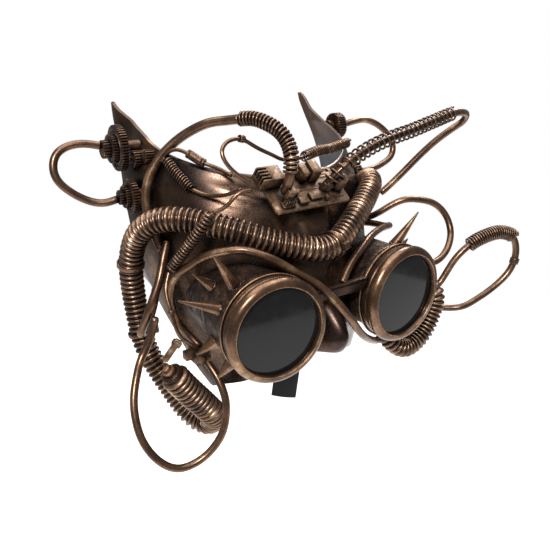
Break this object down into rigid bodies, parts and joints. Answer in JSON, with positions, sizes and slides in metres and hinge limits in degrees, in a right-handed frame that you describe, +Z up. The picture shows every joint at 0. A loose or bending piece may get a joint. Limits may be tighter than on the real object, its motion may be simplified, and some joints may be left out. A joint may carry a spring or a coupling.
{
  "type": "steampunk plague doctor half mask",
  "caption": "Horned half mask in antique copper with a pair of screw-rim goggles, glued-on gears, a circuit board, corrugated hoses, bent tubes and ribbon ties.",
  "frame": {"origin": "between the eyes on the mask's plane of symmetry, 60 mm behind the goggles' front rims", "axes": "the mask looks towards -Y, +X is the wearer's left, +Z is up"},
  "size_m": [0.2839, 0.1731, 0.2486],
  "materials": {
    "mask_paint": "antique copper paint over plastic, with blackened recesses",
    "goggle_paint": "antique copper paint over plastic, with blackened recesses",
    "bezel_paint": "antique copper paint over plastic, with blackened recesses",
    "gasket_rubber": "matte",
    "smoked_lens": "polished, almost opaque",
    "satin_ribbon": "black satin weave",
    "board_paint": "antique copper paint over plastic, with blackened recesses",
    "gear_paint": "antique copper paint over plastic, with blackened recesses",
    "hose_paint": "antique copper paint over plastic, with blackened recesses",
    "coil_paint": "antique copper paint over plastic, with blackened recesses",
    "tube_paint": "antique copper paint over plastic, with blackened recesses"
  },
  "bodies": {
    "mask": {"mask_shell": "mask_paint", "goggle_cup_right": "goggle_paint", "goggle_cup_left": "goggle_paint", "goggle_collar_right": "goggle_paint", "goggle_collar_left": "goggle_paint", "goggle_spikes_right": "bezel_paint", "goggle_spikes_left": "bezel_paint", "nose_bridge_bar": "mask_paint", "forehead_hose": "hose_paint", "hose_end_gear": "gear_paint", "hose_end_bolt": "gear_paint", "cheek_hose": "hose_paint", "temple_loop_right": "tube_paint", "temple_loop_left": "tube_paint", "crown_tube": "tube_paint", "crown_tube_coil": "coil_paint", "side_tube": "tube_paint", "lower_loop_tube": "tube_paint", "brow_tube": "tube_paint", "bridge_tube": "tube_paint", "horn_hose": "tube_paint", "horn_hose_coil": "coil_paint", "cheek_tube": "tube_paint", "outer_loop_tube": "tube_paint", "outer_loop_coil": "coil_paint", "brow_spring": "coil_paint", "goggle_spring": "coil_paint", "crown_spring": "coil_paint", "upper_gear_stack": "gear_paint", "lower_gear_stack": "gear_paint", "temple_pinions": "gear_paint", "upper_gear_left": "gear_paint", "lower_gear_left": "gear_paint", "circuit_board": "board_paint", "board_posts": "board_paint", "comb_connector": "board_paint", "twin_connector": "board_paint", "board_capacitors": "board_paint", "pin_header": "board_paint", "board_chips": "board_paint", "crown_wire": "tube_paint", "crown_wire_barrel": "coil_paint", "loop_wire": "tube_paint", "brow_wire": "tube_paint", "goggle_wire": "tube_paint", "wire_crimps": "tube_paint", "cable_ties": "tube_paint", "terminal_block": "board_paint", "bracket_lever": "board_paint", "ribbon_right": "satin_ribbon", "ribbon_left": "satin_ribbon"},
    "lens_carrier_right": {"lens_right": "smoked_lens", "lens_gasket_right": "gasket_rubber"},
    "bezel_ring_right": {"bezel_right": "bezel_paint"},
    "lens_carrier_left": {"lens_left": "smoked_lens", "lens_gasket_left": "gasket_rubber"},
    "bezel_ring_left": {"bezel_left": "bezel_paint"}
  },
  "joints": [
    {"name": "lens_slide_right", "type": "slide", "parent": "mask", "child": "lens_carrier_right", "axis": [-0.0785, -0.9969, 0], "range_m": [0, 0.00301]},
    {"name": "bezel_turn_right", "type": "hinge", "parent": "lens_carrier_right", "child": "bezel_ring_right", "pos_m": [-0.046, -0.06, 0], "axis": [-0.0785, -0.9969, 0], "range_deg": [0, 540]},
    {"name": "lens_slide_left", "type": "slide", "parent": "mask", "child": "lens_carrier_left", "axis": [0.0785, -0.9969, 0], "range_m": [0, 0.00301]},
    {"name": "bezel_turn_left", "type": "hinge", "parent": "lens_carrier_left", "child": "bezel_ring_left", "pos_m": [0.046, -0.06, 0], "axis": [0.0785, -0.9969, 0], "range_deg": [0, 540]}
  ],
  "couplings": [
    {"joint": "lens_slide_right", "follows": "bezel_turn_right", "m_per_rad": 0.00031831},
    {"joint": "lens_slide_left", "follows": "bezel_turn_left", "m_per_rad": 0.00031831}
  ]
}
